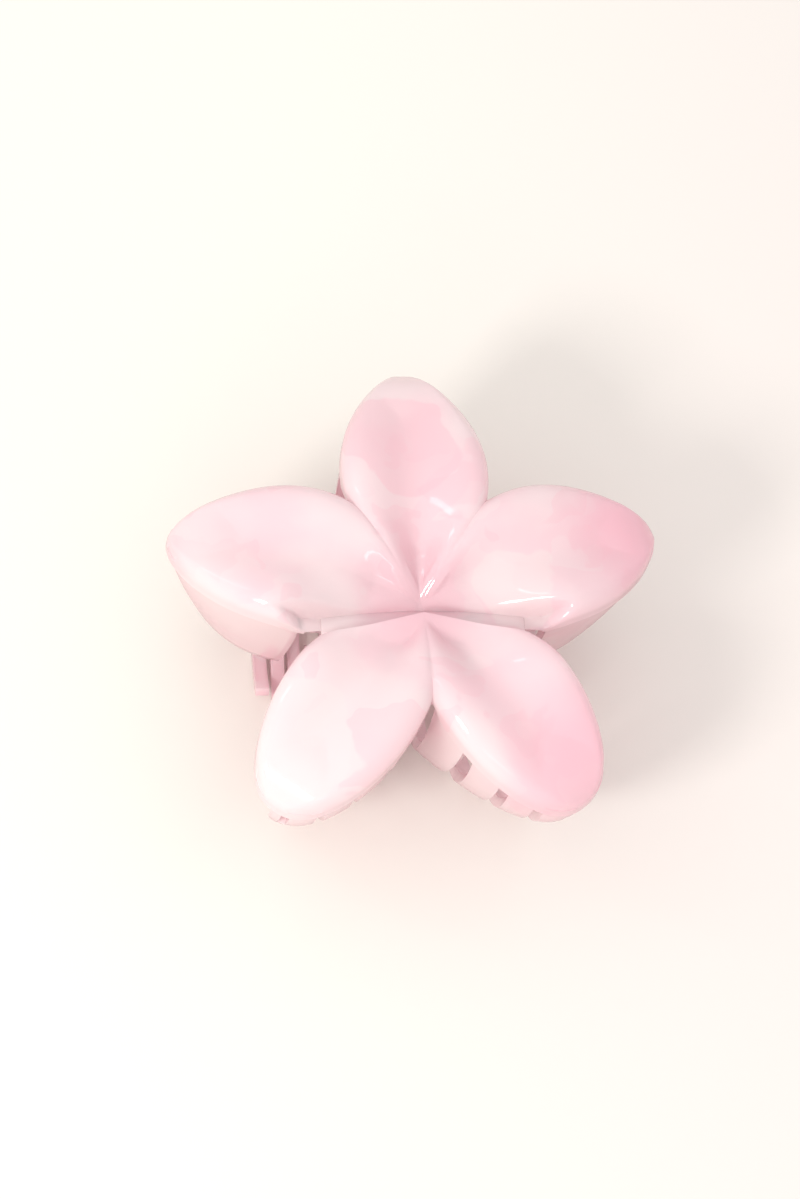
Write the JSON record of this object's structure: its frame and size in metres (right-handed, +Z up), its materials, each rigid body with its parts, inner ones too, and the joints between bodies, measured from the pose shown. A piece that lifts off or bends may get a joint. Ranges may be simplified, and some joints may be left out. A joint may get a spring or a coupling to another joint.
{
  "type": "flower claw clip",
  "caption": "Five-petal flower claw clip: three-petal and two-petal moulded halves with meshing combs of curved prongs, hinged on a pin and pressed shut by a torsion spring",
  "frame": {"origin": "Middle of the box's lower face: under the middle of the clip, at the height of the lands its prongs stand on", "axes": "+X along the hinge, towards the clip's right side seen from the front petals; +Y towards the single upper petal; +Z up through the flower's face"},
  "size_m": [0.08, 0.0774, 0.0375],
  "materials": {
    "petal_plastic": "glossy milky pink, marbled with paler pink, slightly see-through",
    "pin_steel": "plain drawn steel pin with upset heads",
    "spring_steel": "drawn spring wire"
  },
  "bodies": {
    "back": {"back_half": "petal_plastic", "hinge_pin": "pin_steel", "torsion_spring": "spring_steel"},
    "front": {"front_half": "petal_plastic"}
  },
  "joints": [
    {"name": "jaw", "type": "hinge", "parent": "back", "child": "front", "pos_m": [0, -0.00832, 0.027], "axis": [-1, 0, 0], "range_deg": [0, 40], "stiffness_Nm_per_rad": 0.13, "springref_deg": -28.65, "deforming": ["torsion_spring"]}
  ]
}
